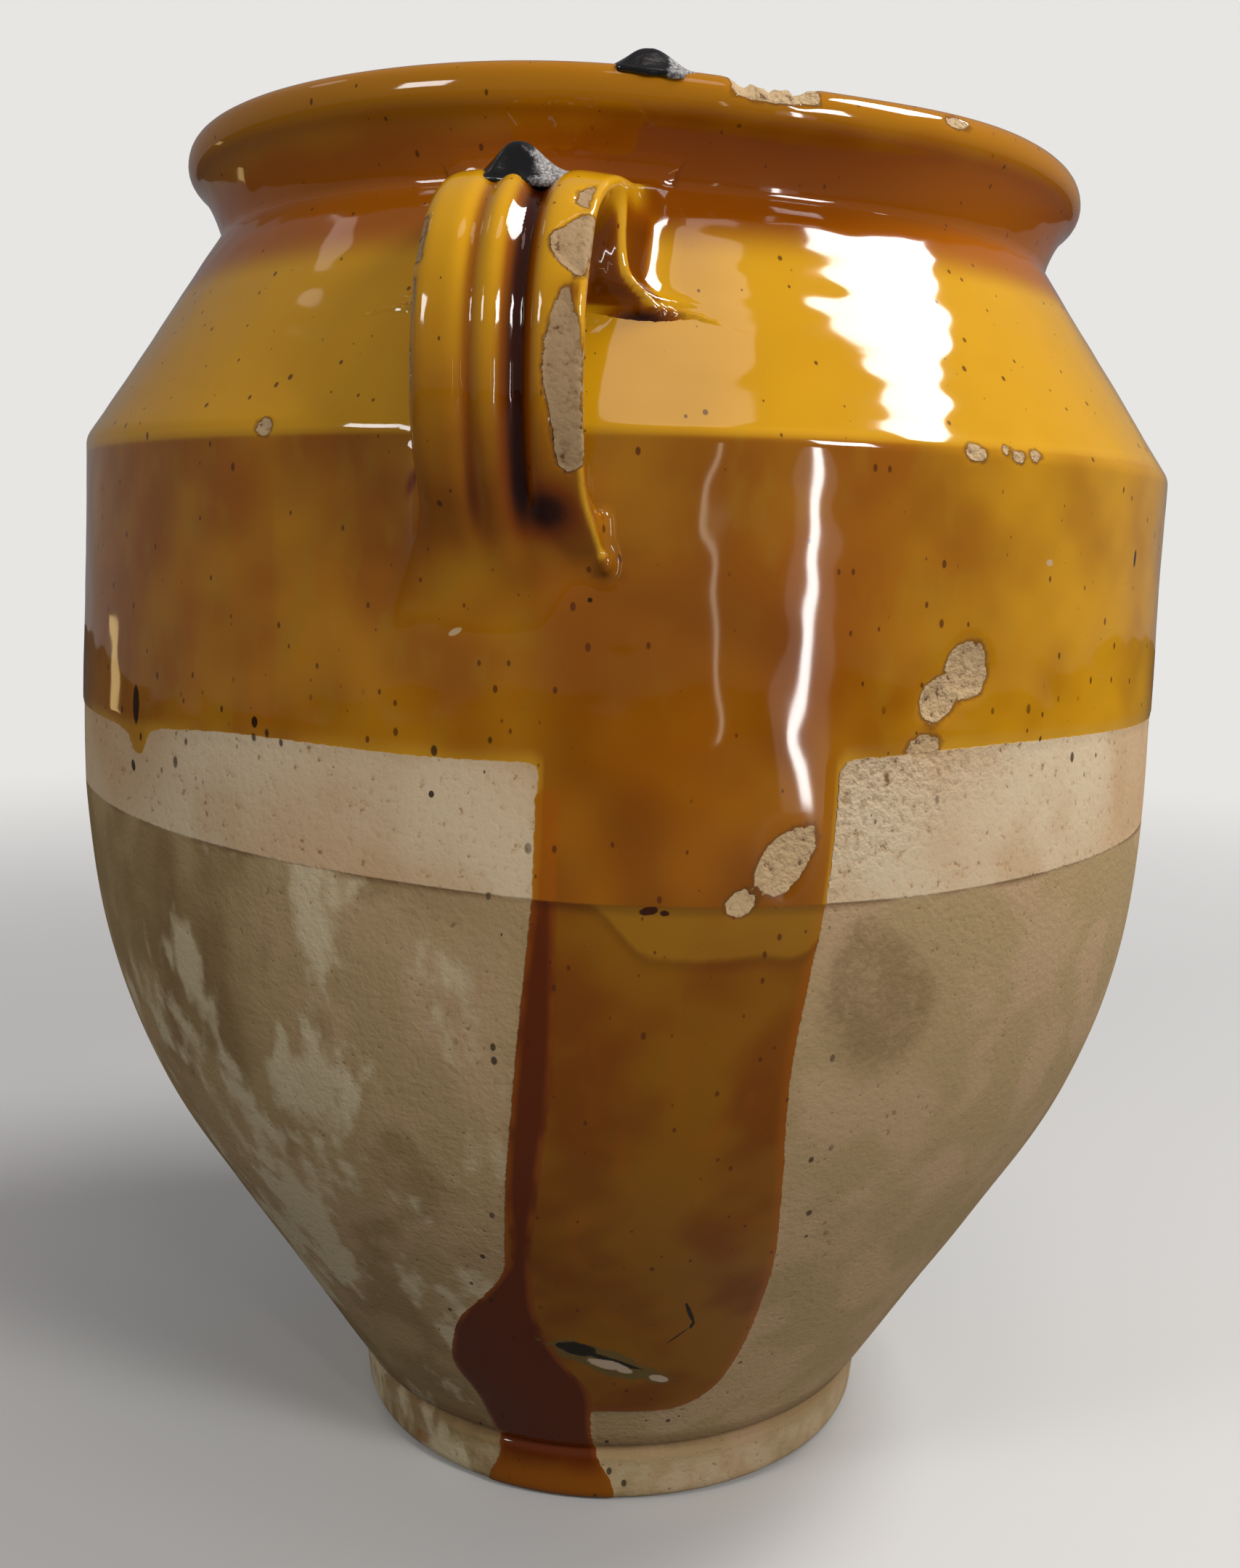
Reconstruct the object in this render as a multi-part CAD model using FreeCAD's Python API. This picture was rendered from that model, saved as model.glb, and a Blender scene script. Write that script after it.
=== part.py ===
# Jam pot: a wheel-thrown, glazed earthenware pot with two pulled strap handles.
# The foot, belly, shoulder, collar, lip and both handles are one fired piece of clay.
# Millimetres and degrees. +Z is up, the foot stands on Z = 0 and the pot's axis is Z.
# The handles lie in the YZ plane: the worn front one towards -Y, the second towards +Y.

import FreeCAD, Part
import os
from math import copysign, cos, exp, pi, radians, sin, tan

Vector = FreeCAD.Vector

# Foot: a flat disc with a rounded bottom edge and a shallow groove above it
foot_radius = 61.4
foot_thickness = 12.0
foot_edge_round = 3.2
foot_draft = 1.2
groove_depth = 0.9
groove_height = 2.6

# The wall from the foot up to the shoulder edge, each stretch with its own rise
flank_rise = 57.4
flank_inset = 21.7
flank_tangent = 28.0
belly_radius = 119.1
belly_rise = 80.0
belly_tangent_down = 30.0
belly_tangent_up = 22.0
edge_rise = 68.4
edge_inset = 1.5
edge_round = 1.4
edge_tangent = 20.0

# Shoulder cone, hollow collar and rolled lip
shoulder_rise = 42.4
shoulder_inset = 27.8
collar_sweep = 8.5
lip_rise = 18.2
lip_overhang = 6.4
lip_roll = 4.6
lip_under_angle = 52.0
lip_under_run = 2.8

# Wall thickness and the inside
wall = 8.0
collar_wall = 7.4
floor_thickness = 10.0
floor_corner_round = 14.0
lip_width = 12.6
mouth_round = 3.0

# Strap handles: a bow from the collar down to the wall below the shoulder edge
strap_half_width = 12.6
strap_thickness = 8.4
bow_stand_out = 15.4
bow_top_drop = 3.4
bow_rise = 2.6
bow_upper_pull = 20.0
bow_lower_pull = 12.5
bow_foot_pull = 10.0
bow_above_edge = 6.6
bow_below_edge = 21.4
lower_root_sink = 5.6
lower_root_half_width = 13.6
lower_root_reach = 0.3
upper_root_sink = 4.2
upper_root_thickness = 24.0
upper_root_half_width = 14.6
upper_root_flare = 24.0
upper_root_reach = 0.48

# The finger grooves drawn down each strap, placed as a share of its half width
left_groove_place = -0.31
left_groove_depth = 1.3
left_groove_width = 1.5
right_groove_place = 0.22
right_groove_depth = 2.3
right_groove_width = 2.1

# Lumps of dark glaze where the pot touched its neighbours in the kiln
lip_lump_angle = 10.0
lip_lump_half_width = 7.8
lip_lump_height = 2.8
lip_lump_inset = 3.1
lip_lump_seat = 0.5
strap_lump_half_width = 8.8
strap_lump_height = 5.6
strap_lump_offset = -1.2
strap_lump_reach = 15.6
strap_lump_seat = 1.0

# Chips knocked out of the lip and the glazed wall
lip_chip_angle = 22.3
lip_chip_half_width = 8.2
lip_chip_depth = 2.6
lip_chip_inset = 2.3
wall_chip_angle = 36.6
wall_chip_rise = 30.5
wall_chip_half_width = 5.9
wall_chip_depth = 1.0


def at(radius, height):
    """A point of the turned outline, in the XZ half plane."""
    return Vector(radius, 0, height)


def line(a, b):
    return Part.LineSegment(a, b).toShape()


def bezier(*poles):
    curve = Part.BezierCurve()
    curve.setPoles(list(poles))
    return curve.toShape()


def arc(a, middle, b):
    return Part.Arc(a, middle, b).toShape()


def turned(shape, angle):
    """A copy turned about the pot's axis. Zero degrees is the front, -Y."""
    copy = shape.copy()
    copy.rotate(Vector(0, 0, 0), Vector(0, 0, 1), angle - 90)
    return copy


def round_corner(before, corner, after, radius):
    """Start, middle and end of the arc that rounds a corner of the outline."""
    back = (before - corner).normalize()
    ahead = (after - corner).normalize()
    half_angle = back.getAngle(ahead) / 2
    reach = radius / tan(half_angle)
    bisector = (back + ahead).normalize()
    centre = corner + bisector * (radius / sin(half_angle))
    return corner + back * reach, centre - bisector * radius, corner + ahead * reach


# The pot's outline: the points that the outside and the inside share

up = Vector(0, 0, 1)
foot_top = at(foot_radius, foot_thickness)
flank_start = at(foot_radius + groove_depth, foot_thickness + groove_height)
flank_top = at(belly_radius - flank_inset, flank_start.z + flank_rise)
flank_slope = (flank_top - flank_start).normalize()
belly = at(belly_radius, flank_top.z + belly_rise)
shoulder_edge = belly + at(-edge_inset, edge_rise)
collar = shoulder_edge + at(-shoulder_inset, shoulder_rise)
shoulder_slope = (shoulder_edge - collar).normalize()
shoulder_top = collar + shoulder_slope * collar_sweep
lip_top = collar + at(lip_overhang - lip_roll, lip_rise)
lip_centre = lip_top - up * lip_roll


def outer_outline():
    """The outside, from the middle of the foot up to the top of the lip."""
    foot_corner = at(foot_radius - foot_draft, 0)
    foot_edge = round_corner(at(0, 0), foot_corner, foot_top, foot_edge_round)
    groove = at(foot_radius - groove_depth, foot_thickness + groove_height / 2)
    below_edge = shoulder_edge - up * edge_tangent
    edge = round_corner(below_edge, shoulder_edge, shoulder_top, edge_round)

    under = radians(-lip_under_angle)
    side = (under + pi / 2) / 2
    lip_under = lip_centre + at(cos(under), sin(under)) * lip_roll
    lip_side = lip_centre + at(cos(side), sin(side)) * lip_roll
    under_run = at(sin(under), -cos(under)) * lip_under_run
    return [
        line(at(0, 0), foot_edge[0]),
        arc(*foot_edge),
        line(foot_edge[2], foot_top),
        arc(foot_top, groove, flank_start),
        line(flank_start, flank_top),
        bezier(flank_top, flank_top + flank_slope * flank_tangent,
               belly - up * belly_tangent_down, belly),
        bezier(belly, belly + up * belly_tangent_up, edge[0] - up * edge_tangent, edge[0]),
        arc(*edge),
        line(edge[2], shoulder_top),
        bezier(shoulder_top, collar - up * (collar_sweep / 2), collar),
        bezier(collar, collar + up * (lip_roll / 2), lip_under + under_run, lip_under),
        arc(lip_under, lip_side, lip_top),
    ]


def inner_outline():
    """The inside, from the top of the lip down to the middle of the floor."""
    mouth = lip_centre + at(lip_roll - lip_width, -mouth_round)
    collar_inside = collar - at(collar_wall, 0)
    shoulder_inside = shoulder_top + at(shoulder_slope.z, -shoulder_slope.x) * wall
    run = (shoulder_edge.x - wall - shoulder_inside.x) / shoulder_slope.x
    edge_inside = shoulder_inside + shoulder_slope * run
    belly_inside = belly - at(wall, 0)
    flank_inside = flank_top + at(-flank_slope.z, flank_slope.x) * wall
    drop = (flank_inside.z - floor_thickness) / flank_slope.z
    floor_corner = round_corner(flank_inside, flank_inside - flank_slope * drop,
                                at(0, floor_thickness), floor_corner_round)
    above_edge = edge_inside - shoulder_slope * wall
    below_edge = edge_inside - up * wall
    return [
        bezier(lip_top, lip_top - at(lip_roll, 0), mouth + up * mouth_round, mouth),
        bezier(mouth, mouth - up * mouth_round, collar_inside + up * mouth_round,
               collar_inside),
        bezier(collar_inside, collar_inside - up * (collar_sweep / 2), shoulder_inside),
        line(shoulder_inside, above_edge),
        bezier(above_edge, edge_inside, below_edge),
        bezier(below_edge, below_edge - up * edge_tangent,
               belly_inside + up * belly_tangent_up, belly_inside),
        bezier(belly_inside, belly_inside - up * belly_tangent_down,
               flank_inside + flank_slope * flank_tangent, flank_inside),
        line(flank_inside, floor_corner[0]),
        arc(*floor_corner),
        line(floor_corner[2], at(0, floor_thickness)),
    ]


def spun(edges):
    """The solid that a closed outline sweeps about the pot's axis."""
    face = Part.Face(Part.Wire(edges))
    return face.revolve(Vector(0, 0, 0), up, 360)


def outer_form():
    """The pot as if it were solid clay, up to the top of the lip."""
    axis_top = at(0, lip_top.z)
    return spun(outer_outline() + [line(lip_top, axis_top), line(axis_top, at(0, 0))])


def hollow():
    """The space inside the pot, carried on above the lip."""
    above_lip = lip_top + up * (2 * lip_roll)
    above_axis = at(0, above_lip.z)
    closing = [line(at(0, floor_thickness), above_axis), line(above_axis, above_lip),
               line(above_lip, lip_top)]
    return spun(inner_outline() + closing)


def bow_curves():
    """The two halves of a strap's middle line, from inside the collar to inside the wall."""
    top = collar - up * bow_top_drop
    start = top - at(upper_root_sink, upper_root_thickness / 2)
    rise = top + at(bow_upper_pull, bow_rise)
    outermost = shoulder_edge + at(bow_stand_out - strap_thickness / 2, bow_above_edge)
    end = shoulder_edge - at(lower_root_sink, bow_below_edge)
    upper = [start, rise, outermost + up * bow_upper_pull, outermost]
    lower = [outermost, outermost - up * bow_lower_pull, end + at(1, 1) * bow_foot_pull, end]
    curves = []
    for poles in (upper, lower):
        curve = Part.BezierCurve()
        curve.setPoles(poles)
        curves.append(curve)
    return curves


def rounded_power(value, power):
    """The value raised to a power, with its sign kept."""
    return copysign(abs(value) ** power, value)


def strap_section(centre, outwards, half_width, flare, thickness, groove_share):
    """Closed outline across a strap: three finger-drawn ribs outside, plain inside."""
    steps = 44
    squareness = 0.78
    corners = []
    for step in range(steps):
        turn = 2 * pi * (step + 0.5) / steps
        side = rounded_power(cos(turn), squareness)
        height = rounded_power(sin(turn), squareness) * thickness / 2
        if height > 0:
            left = (side - left_groove_place) * half_width / left_groove_width
            right = (side - right_groove_place) * half_width / right_groove_width
            dip = left_groove_depth * exp(-left ** 2) + right_groove_depth * exp(-right ** 2)
            height -= dip * groove_share
            reach = half_width
        else:
            reach = half_width - flare * sin(turn)
        corners.append(centre + Vector(0, side * reach, 0) + outwards * height)
    curve = Part.BSplineCurve()
    curve.interpolate(Points=corners, PeriodicFlag=True)
    return Part.Wire(curve.toShape())


def strap_handle():
    """One pulled strap towards +X, lofted through the sections along its bow."""
    sections_per_half = 9
    sections = []
    for half, curve in enumerate(bow_curves()):
        for step in range(half, sections_per_half):
            way = step / (sections_per_half - 1)
            upper = (1 - half) * exp(-(way / upper_root_reach) ** 2)
            lower = half * exp(-((1 - way) / lower_root_reach) ** 2)
            tangent = curve.tangent(way)[0]
            outwards = Vector(-tangent.z, 0, tangent.x)
            half_width = strap_half_width
            half_width += upper * (upper_root_half_width - strap_half_width)
            half_width += lower * (lower_root_half_width - strap_half_width)
            thickness = strap_thickness + upper * (upper_root_thickness - strap_thickness)
            groove_share = (1 - upper) * (1 - lower)
            sections.append(strap_section(curve.value(way), outwards, half_width,
                                          upper * upper_root_flare, thickness, groove_share))
    return Part.makeLoft(sections, True, False)


def lump(half_width, height):
    """A broken, five-sided lump of glaze with its foot sunk into what it stands on."""
    sides = 5
    depth_share = 0.6
    top_share = 0.2
    sunk_share = 0.4
    first_turn = 0.45
    ring = []
    crown = []
    for side in range(sides + 1):
        turn = 2 * pi * side / sides + first_turn
        foot = Vector(depth_share * half_width * cos(turn), half_width * sin(turn), 0)
        ring.append(foot - up * (sunk_share * height))
        crown.append(foot * top_share + up * height)
    return Part.makeLoft([Part.makePolygon(ring), Part.makePolygon(crown)], True, True)


def glaze_lumps():
    """The lump on the lip and the one on top of the front strap."""
    on_lip = lump(lip_lump_half_width, lip_lump_height)
    on_lip.translate(lip_top + at(lip_roll - lip_lump_inset, -lip_lump_seat))
    on_strap = lump(strap_lump_half_width, strap_lump_height)
    strap_top = collar + at(strap_lump_reach, -bow_top_drop - strap_lump_seat)
    on_strap.translate(strap_top + Vector(0, strap_lump_offset, 0))
    return [turned(on_lip, lip_lump_angle), turned(on_strap, 0)]


def chip_cutter(surface, outwards, half_width, depth):
    """A ball that takes a shallow chip as wide and deep as stated."""
    ball_radius = (half_width ** 2 + depth ** 2) / (2 * depth)
    return Part.makeSphere(ball_radius, surface + outwards * (ball_radius - depth))


def chips():
    """Cutters for the chip on top of the lip and the one on the glazed wall."""
    lip = chip_cutter(lip_top + at(lip_roll - lip_chip_inset, 0), up,
                      lip_chip_half_width, lip_chip_depth)
    place = belly + at(-edge_inset, edge_rise) * (wall_chip_rise / edge_rise)
    side = chip_cutter(place, at(1, 0), wall_chip_half_width, wall_chip_depth)
    return [turned(lip, lip_chip_angle), turned(side, wall_chip_angle)]


def jam_pot():
    """The whole fired pot: form and handles joined, then hollowed and chipped."""
    handle = strap_handle()
    joined = outer_form().fuse([turned(handle, 0), turned(handle, 180)] + glaze_lumps())
    return joined.cut([hollow()] + chips()).removeSplitter()


os.makedirs("parts", exist_ok=True)
pot = jam_pot()
print("solids", len(pot.Solids), "valid", pot.isValid(), "volume", round(pot.Volume))
pot.exportStep("parts/jam_pot.step")
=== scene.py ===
import math
import bpy
import numpy as np
from mathutils import Matrix, Vector


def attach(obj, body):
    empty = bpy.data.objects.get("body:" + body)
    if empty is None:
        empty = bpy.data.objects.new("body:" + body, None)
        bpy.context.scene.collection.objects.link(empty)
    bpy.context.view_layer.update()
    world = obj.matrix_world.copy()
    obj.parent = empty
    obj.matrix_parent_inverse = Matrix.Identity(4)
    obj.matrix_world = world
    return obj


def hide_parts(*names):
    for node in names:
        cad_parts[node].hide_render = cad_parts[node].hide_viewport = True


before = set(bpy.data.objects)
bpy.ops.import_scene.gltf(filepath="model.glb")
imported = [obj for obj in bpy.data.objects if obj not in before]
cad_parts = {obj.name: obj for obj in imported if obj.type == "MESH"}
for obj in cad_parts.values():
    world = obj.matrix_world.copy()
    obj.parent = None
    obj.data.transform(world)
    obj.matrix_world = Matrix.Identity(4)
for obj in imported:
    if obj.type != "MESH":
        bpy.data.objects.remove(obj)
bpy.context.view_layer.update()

# The camera stands close to the pot, a little above its shoulder, and looks slightly down.
# It is turned a few degrees past the front handle, so that the handle shows left of the middle.
picture_width = 1708
focal_pixels = 2050
sensor = 36.0
camera_distance = 0.35087
camera_height = 0.20307
camera_side = math.radians(8.4)
camera_down = math.radians(9.135)
camera_roll = math.radians(1.0)

level_right = Vector((math.cos(camera_side), math.sin(camera_side), 0))
ahead = Vector((-math.sin(camera_side) * math.cos(camera_down),
                math.cos(camera_side) * math.cos(camera_down), -math.sin(camera_down)))
level_up = level_right.cross(ahead)
right = level_right * math.cos(camera_roll) + level_up * math.sin(camera_roll)
upward = right.cross(ahead)
camera = bpy.data.objects.new("camera", bpy.data.cameras.new("camera"))
camera.data.sensor_width = sensor
camera.data.sensor_fit = "HORIZONTAL"
camera.data.lens = focal_pixels / picture_width * sensor
camera.data.clip_start = 0.01
place = Vector((math.sin(camera_side), -math.cos(camera_side), 0)) * camera_distance
place.z = camera_height
turn = Matrix((right, upward, -ahead)).transposed().to_4x4()
camera.matrix_world = Matrix.Translation(place) @ turn
bpy.context.scene.collection.objects.link(camera)
bpy.context.scene.camera = camera

# The pot: red-buff earthenware thrown on a wheel, with a flat foot, a full belly, a sharp
# shoulder edge, a hollow collar and a rolled lip. Its outline is swept round the Z axis.
foot_radius, foot_thickness, foot_round, foot_draft = 0.0614, 0.012, 0.0032, 0.0012
groove_depth, groove_height = 0.0009, 0.0026
flank_top_radius, flank_top_height, flank_pull = 0.0974, 0.072, 0.028
belly_radius, belly_height, belly_pull_down, belly_pull_up = 0.1191, 0.152, 0.030, 0.022
edge_radius, edge_height, edge_round, edge_pull = 0.1176, 0.2204, 0.0014, 0.020
collar_radius, collar_height, collar_sweep = 0.0898, 0.2628, 0.0085
lip_radius, lip_height, lip_roll, lip_under = 0.0962, 0.281, 0.0046, math.radians(-52)
wall, floor_thickness, mouth_radius = 0.008, 0.010, 0.0836


def along(*poles, step):
    """Points along the Bezier curve with these poles, about a step apart, without its end."""
    share = np.linspace(0, 1, 200)[:, None]
    rows = [np.array(pole, float) * np.ones_like(share) for pole in poles]
    while len(rows) > 1:
        rows = [a * (1 - share) + b * share for a, b in zip(rows, rows[1:])]
    length = np.concatenate([[0], np.cumsum(np.linalg.norm(np.diff(rows[0], axis=0), axis=1))])
    count = max(2, int(round(length[-1] / step)))
    wanted = np.arange(count) / count * length[-1]
    return np.stack([np.interp(wanted, length, rows[0][:, k]) for k in (0, 1)], axis=1)


def toward(start, end, distance):
    """The point that lies this far from the start on the way to the end."""
    way = np.subtract(end, start)
    return np.array(start) + way / np.linalg.norm(way) * distance


foot_corner = (foot_radius - foot_draft, 0)
foot_top = (foot_radius, foot_thickness)
flank_start = (foot_radius + groove_depth, foot_thickness + groove_height)
flank_top = (flank_top_radius, flank_top_height)
belly = (belly_radius, belly_height)
edge = (edge_radius, edge_height)
collar = (collar_radius, collar_height)
below_edge = (edge_radius, edge_height - edge_round)
above_edge = toward(edge, collar, edge_round)
shoulder_top = toward(collar, edge, collar_sweep)
lip_centre = np.array((lip_radius - lip_roll, lip_height - lip_roll))
lip_low = lip_centre + lip_roll * np.array((math.cos(lip_under), math.sin(lip_under)))
lip_low_run = lip_low + 0.0028 * np.array((math.sin(lip_under), -math.cos(lip_under)))
lip_out = lip_centre + (lip_roll * 1.02, -0.0004)
lip_top = lip_centre + (0, lip_roll)
mouth = (mouth_radius, lip_height - 0.0076)
collar_inside = (collar_radius - wall, collar_height)
edge_inside = (edge_radius - wall, edge_height - 0.0035)
belly_inside = (belly_radius - wall, belly_height)
flank_inside = (flank_top_radius - wall, flank_top_height + 0.004)
floor_edge = (0.055, floor_thickness)
outside = np.concatenate([
    along((0, 0), toward(foot_corner, (0, 0), foot_round), step=0.009)[1:],
    along(toward(foot_corner, (0, 0), foot_round), foot_corner,
          toward(foot_corner, foot_top, foot_round), step=0.0008),
    along(toward(foot_corner, foot_top, foot_round), foot_top, step=0.0014),
    along(foot_top, (foot_radius - 2 * groove_depth, foot_thickness + groove_height / 2),
          flank_start, step=0.0006),
    along(flank_start, flank_top, step=0.0016),
    along(flank_top, toward(flank_top, flank_start, -flank_pull),
          (belly_radius, belly_height - belly_pull_down), belly, step=0.0018),
    along(belly, (belly_radius, belly_height + belly_pull_up),
          (edge_radius, edge_height - edge_pull), below_edge, step=0.0016),
    along(below_edge, edge, above_edge, step=0.0005),
    along(above_edge, shoulder_top, step=0.0015),
    along(shoulder_top, toward(shoulder_top, edge, -collar_sweep / 2), collar, step=0.0013),
    along(collar, (collar_radius, collar_height + 0.0023), lip_low_run, lip_low, step=0.0011),
    along(lip_low, lip_low + (0.0018, 0.0013), lip_out, step=0.0008),
    along(lip_out, lip_out + (0, 0.003), lip_top + (0.0030, 0), lip_top, step=0.0008),
])
inside = np.concatenate([
    along(lip_top, lip_top - (lip_roll, 0), (mouth_radius, lip_height - 0.0046), mouth,
          step=0.0012),
    along(mouth, collar_inside, step=0.005),
    along(collar_inside, edge_inside, step=0.010),
    along(edge_inside, belly_inside, step=0.010),
    along(belly_inside, (belly_radius - wall, belly_height - belly_pull_down), flank_inside,
          step=0.010),
    along(flank_inside, floor_edge, step=0.010),
    along(floor_edge, (0, floor_thickness), step=0.010),
])
outline = np.concatenate([outside, inside])

# The columns of the sweep, in degrees of azimuth, stand closer together on the front half.
front_step, back_step, front_end, front_fade = 0.63, 1.65, 78, 6
fine_degrees = np.linspace(-180, 180, 3601)
nearness = 1 / (1 + np.exp((np.abs(fine_degrees) - front_end) / front_fade))
density = nearness / front_step + (1 - nearness) / back_step
reached = np.concatenate([[0], np.cumsum((density[1:] + density[:-1]) / 2 * 0.1)])
columns = int(reached[-1])
degrees = np.interp(np.arange(columns) / columns * reached[-1], reached, fine_degrees)


def round_place(azimuth, height, radius):
    """Places in space: azimuth is in degrees, zero at the front, and right is positive."""
    angle = np.radians(azimuth)
    return np.stack(np.broadcast_arrays(radius * np.sin(angle), -radius * np.cos(angle), height),
                    axis=-1)


def settled(points):
    """The slow lean and sag that the pot took on as it dried and was fired."""
    side = points[:, 0] * level_right.x + points[:, 1] * level_right.y
    height = points[:, 2]
    azimuth = np.degrees(np.arctan2(points[:, 0], -points[:, 1]))
    lean = np.interp(height, [0.01, 0.22, 0.281], [0, -0.0217, -0.0286])
    shift = np.interp(height, [0.02, 0.15, 0.22, 0.281], [0, -0.00125, 0.0004, 0.0010])
    rim = np.clip((height - 0.255) / 0.02, 0, 1)
    sag = -0.0018 * rim * np.exp(-((azimuth - 27) / 20) ** 2)
    return points + np.stack([shift * level_right.x, shift * level_right.y,
                              lean * side + sag], axis=-1)


def closed_mesh(name, points, faces):
    """A mesh object with its place in its vertices, shaded smooth."""
    mesh = bpy.data.meshes.new(name)
    mesh.from_pydata(points.tolist(), [], faces)
    mesh.update()
    mesh.shade_smooth()
    made = bpy.data.objects.new(name, mesh)
    bpy.context.scene.collection.objects.link(made)
    return made


def soft_least(a, b, blend):
    """The lesser of two distances, rounded where they are within the blend of each other."""
    overlap = np.clip(blend - np.abs(a - b), 0, None)
    return np.minimum(a, b) - overlap ** 2 / (4 * blend)


def soft_most(a, b, blend):
    """The greater of two distances, rounded where they are within the blend of each other."""
    return -soft_least(-a, -b, blend)


def ramp(value, start, end):
    """Zero before the start, one after the end, and smooth in between."""
    share = np.clip((value - start) / (end - start), 0, 1)
    return share * share * (3 - 2 * share)


# The pot was dipped upside down, first in white slip and then, less deep, in amber glaze. A broad
# tongue of glaze ran down the front, and a dark run left it and reached the foot. The edges are
# azimuth in degrees against height in metres, and each distance is positive inside its patch.
glaze_line = [(-180, 0.1680), (-60, 0.1672), (-48, 0.1668), (-43, 0.1662), (-41, 0.1650),
              (-40.2, 0.1630), (-39.1, 0.1624), (-38.1, 0.1630), (-37.4, 0.1656),
              (-35.5, 0.1674), (-32, 0.1682), (-1, 0.1685), (27, 0.1699), (38, 0.1713),
              (69, 0.1716), (120, 0.1690), (180, 0.1680)]
slip_line = [(-180, 0.1495), (-52, 0.1509), (-18, 0.1484), (8, 0.1461), (27, 0.1461),
             (60, 0.1484), (120, 0.1500), (180, 0.1495)]
tongue_left = [(0.0280, -3.4), (0.0706, -3.0), (0.0913, -1.2), (0.1156, 1.1), (0.1353, 2.1),
               (0.1464, 2.5), (0.1800, 2.6)]
tongue_right = [(0.0280, 24.0), (0.0387, 26.5), (0.0659, 27.1), (0.0913, 25.0), (0.1130, 23.8),
                (0.1318, 24.5), (0.1458, 25.6), (0.1800, 26.4)]
tongue_low, tongue_bottom_round = 0.0275, 0.010
run_left = [(0.0, -18.0), (0.0040, -16.4), (0.0085, -14.3), (0.0150, -14.4), (0.0300, -14.9),
            (0.0364, -16.2), (0.0468, -13.9), (0.0549, -10.8), (0.0607, -7.4), (0.0706, -3.1),
            (0.0913, -1.3), (0.1464, 2.4)]
run_right = [(0.0, 9.8), (0.0048, 9.2), (0.0110, 6.4), (0.0179, 5.3), (0.0349, 5.0), (0.0452, 1.4),
             (0.0564, -0.5), (0.0706, -0.2), (0.0913, 1.7), (0.1156, 3.6), (0.1464, 4.2)]
drip_line = [(2.5, 0.1480), (7.3, 0.1456), (11.0, 0.1378), (13.0, 0.1371), (20.0, 0.1376),
             (25.0, 0.1400), (27.0, 0.1480)]
run_reach = 0.0590
glaze_thickness, glaze_corner = 0.00032, 0.0025
slow_wobble, wall_wobble, glaze_ripple = 0.00012, 0.000045, 0.000022
# Each chip is azimuth, height, half its width, half its height, tilt in degrees and depth.
chips = [(37.9, 0.1845, 0.0044, 0.0048, -25, 0.0009), (35.0, 0.1796, 0.0040, 0.0032, 25, 0.0007),
         (33.6, 0.1716, 0.0032, 0.0019, 10, 0.0004),
         (21.9, 0.1534, 0.0040, 0.0062, -42, 0.00035), (18.6, 0.1466, 0.0026, 0.0022, 0, 0.0003),
         (-22.2, 0.2198, 0.0014, 0.0013, 0, 0.0004), (37.4, 0.2201, 0.0016, 0.0010, 0, 0.0004),
         (40.8, 0.2211, 0.0007, 0.0006, 0, 0.0003), (42.0, 0.2200, 0.0007, 0.0006, 0, 0.0003),
         (44.4, 0.2205, 0.0008, 0.0006, 0, 0.0003), (43.5, 0.2785, 0.0024, 0.0009, 0, 0.0003)]
lip_chip_start, lip_chip_end, lip_chip_low, lip_chip_depth = 17.6, 26.8, 0.2772, 0.0011
far_away = -0.050


def eased(value, line):
    """The smooth curve through the points of a line, read at these values."""
    at, reached = np.transpose(line)
    slope = np.gradient(reached, at)
    part = np.clip(np.searchsorted(at, value) - 1, 0, len(at) - 2)
    gap = at[part + 1] - at[part]
    share = np.clip((value - at[part]) / gap, 0, 1)
    rise = share * share * (3 - 2 * share)
    return (reached[part] * (1 - rise) + reached[part + 1] * rise
            + gap * share * (1 - share) * (slope[part] * (1 - share) - slope[part + 1] * share))


def marks_at(azimuth, height, radius):
    """How far inside each patch a place on the outer skin lies, in metres."""
    degree = np.radians(radius)
    line = {name: eased(azimuth, line)
            for name, line in (("glaze", glaze_line), ("slip", slip_line), ("drip", drip_line))}
    side = {name: eased(height, line)
            for name, line in (("tongue_left", tongue_left), ("tongue_right", tongue_right),
                               ("run_left", run_left), ("run_right", run_right))}
    tongue = soft_least((azimuth - side["tongue_left"]) * degree,
                        (side["tongue_right"] - azimuth) * degree, 0.002)
    tongue = soft_least(tongue, height - tongue_low, tongue_bottom_round)
    run = np.minimum((azimuth - side["run_left"]) * degree,
                     (side["run_right"] - azimuth) * degree)
    run = np.minimum(run, line["slip"] + 0.018 - height)
    run = np.minimum(run, radius - run_reach)
    glaze = soft_most(height - line["glaze"], tongue, glaze_corner)
    glaze = soft_most(glaze, run, glaze_corner / 2)
    chip = np.full(np.shape(glaze), far_away)
    for chip_azimuth, chip_height, half_width, half_height, tilt, _ in chips:
        across = (azimuth - chip_azimuth) * degree
        up = height - chip_height
        lean = math.radians(tilt)
        along_width = (across * math.cos(lean) + up * math.sin(lean)) / half_width
        along_height = (up * math.cos(lean) - across * math.sin(lean)) / half_height
        reach = np.hypot(along_width, along_height)
        chip = np.maximum(chip, (1 - reach) * min(half_width, half_height))
    lip_chip = np.minimum((azimuth - lip_chip_start) * degree, (lip_chip_end - azimuth) * degree)
    lip_chip = soft_least(lip_chip, height - lip_chip_low, 0.001)
    chip = np.maximum(chip, lip_chip)
    return {"glaze": glaze, "slip": height - line["slip"], "drip": height - line["drip"],
            "tongue": tongue, "run": run, "chip": chip}


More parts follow.
